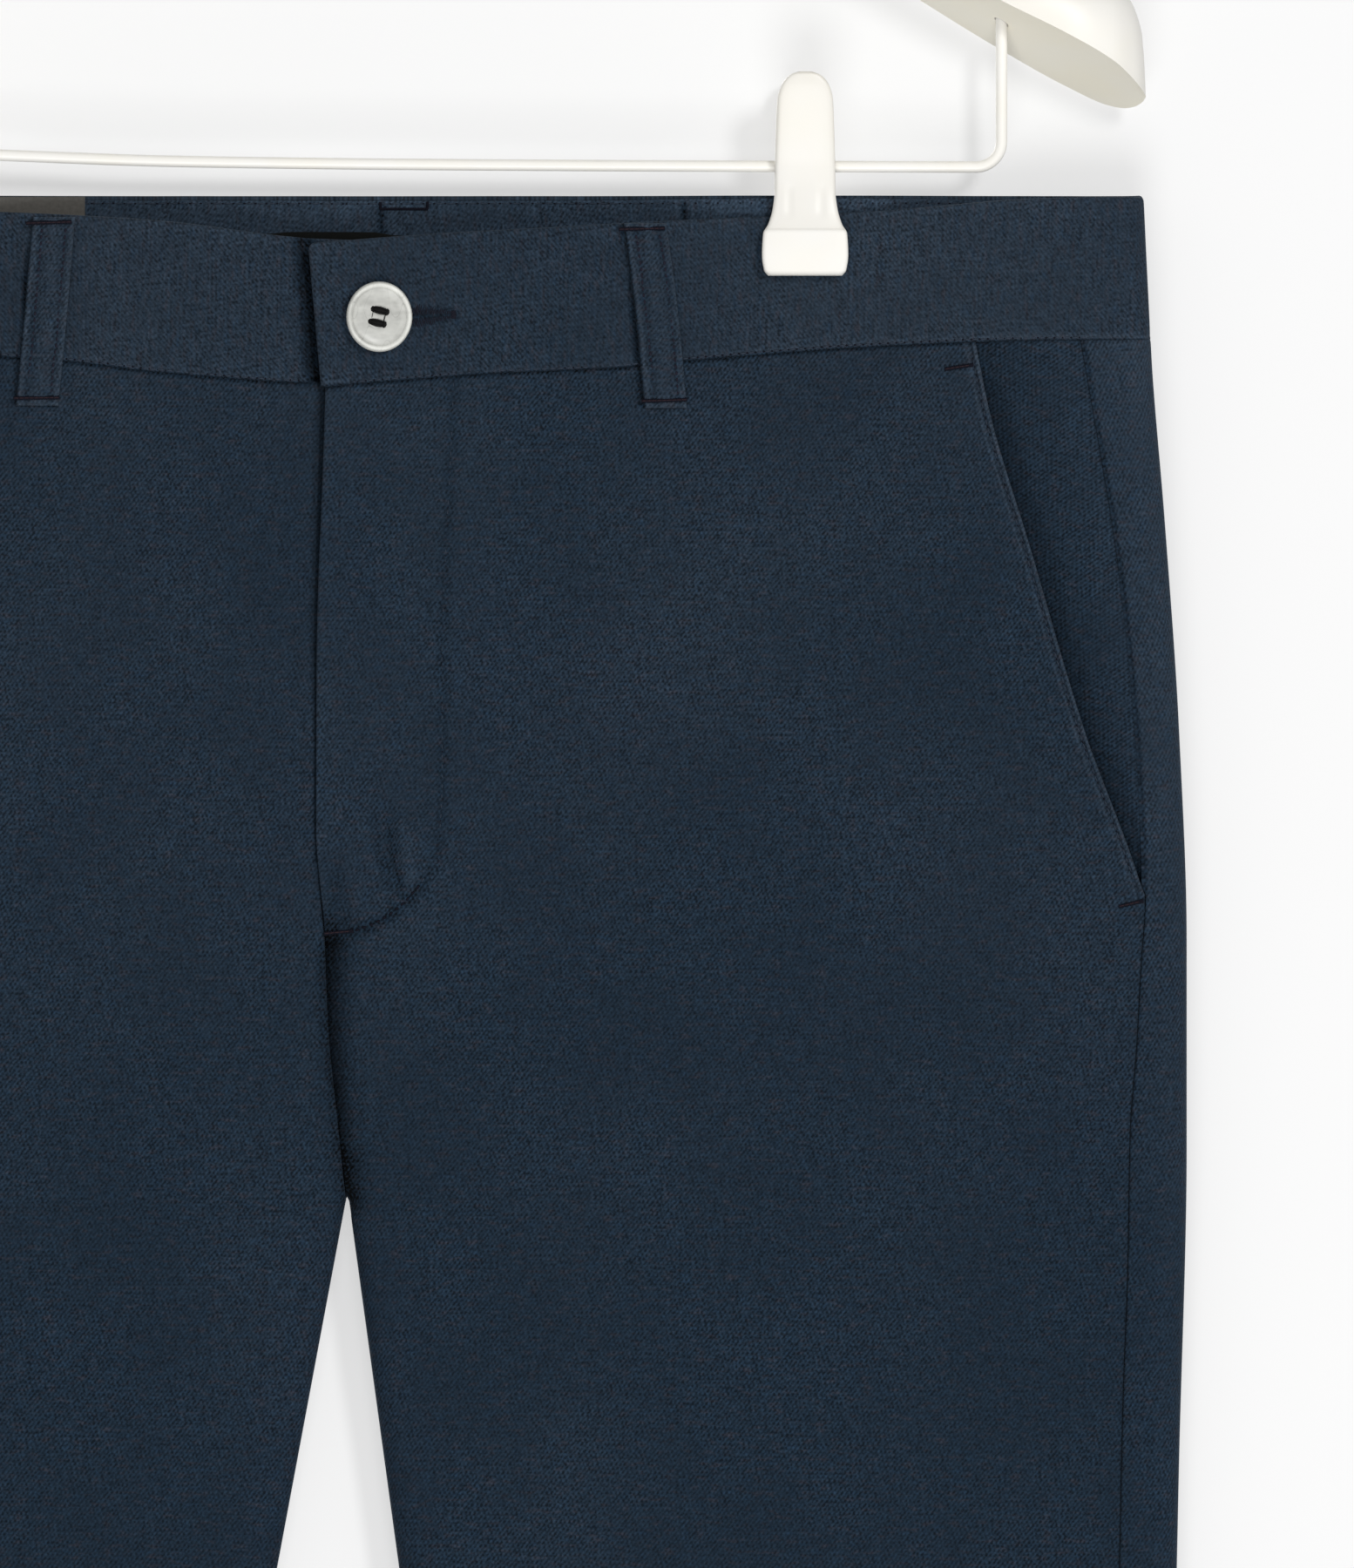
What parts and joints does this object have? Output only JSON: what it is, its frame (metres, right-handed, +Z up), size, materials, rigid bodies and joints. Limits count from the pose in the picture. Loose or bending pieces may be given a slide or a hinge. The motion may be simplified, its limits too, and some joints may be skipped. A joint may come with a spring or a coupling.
{
  "type": "linen bermuda shorts on a clip hanger",
  "caption": "Navy linen-blend bermuda shorts with slant pockets and a buttoned zip fly, hung flat by the waistband from a white clip hanger.",
  "frame": {"origin": "inside top of the hanger's hook, where a rod bears", "axes": "+Z up, the front of the shorts faces -Y, +X is the wearer's left"},
  "size_m": [0.4697, 0.035, 0.7178],
  "materials": {
    "navy_twill": "matt cotton-linen twill, fine right-hand diagonal",
    "pocketing": "plain pocketing cotton",
    "dark_lining": "dark lining tape",
    "label_cloth": "blank woven label",
    "zip_metal": "dulled metal",
    "pearl_button": "pearl sheen",
    "white_plastic": "smooth satin",
    "white_coated_wire": "smooth white coating",
    "spring_steel": "bright wire"
  },
  "bodies": {
    "root": {"front_left": "navy_twill", "front_right": "navy_twill", "back_left": "navy_twill", "back_right": "navy_twill", "waistband_left": "navy_twill", "waistband_right": "navy_twill", "fly_facing": "navy_twill", "fly_shield": "navy_twill", "pocket_facing_left": "navy_twill", "pocket_facing_right": "navy_twill", "belt_loop_front_left": "navy_twill", "belt_loop_front_right": "navy_twill", "belt_loop_back_left": "navy_twill", "belt_loop_back_right": "navy_twill", "belt_loop_centre_back": "navy_twill", "pocket_bag_left": "pocketing", "pocket_bag_right": "pocketing", "waistband_curtain": "dark_lining", "zip_tapes": "dark_lining", "zip_slider": "zip_metal", "label": "label_cloth", "button": "pearl_button", "hanger_body": "white_plastic", "clip_left_front_jaw": "white_plastic", "clip_left_back_jaw": "white_plastic", "clip_right_front_jaw": "white_plastic", "clip_right_back_jaw": "white_plastic", "hanger_hook": "white_coated_wire", "trouser_bar": "white_coated_wire", "clip_left_spring": "spring_steel", "clip_right_spring": "spring_steel"}
  },
  "joints": []
}
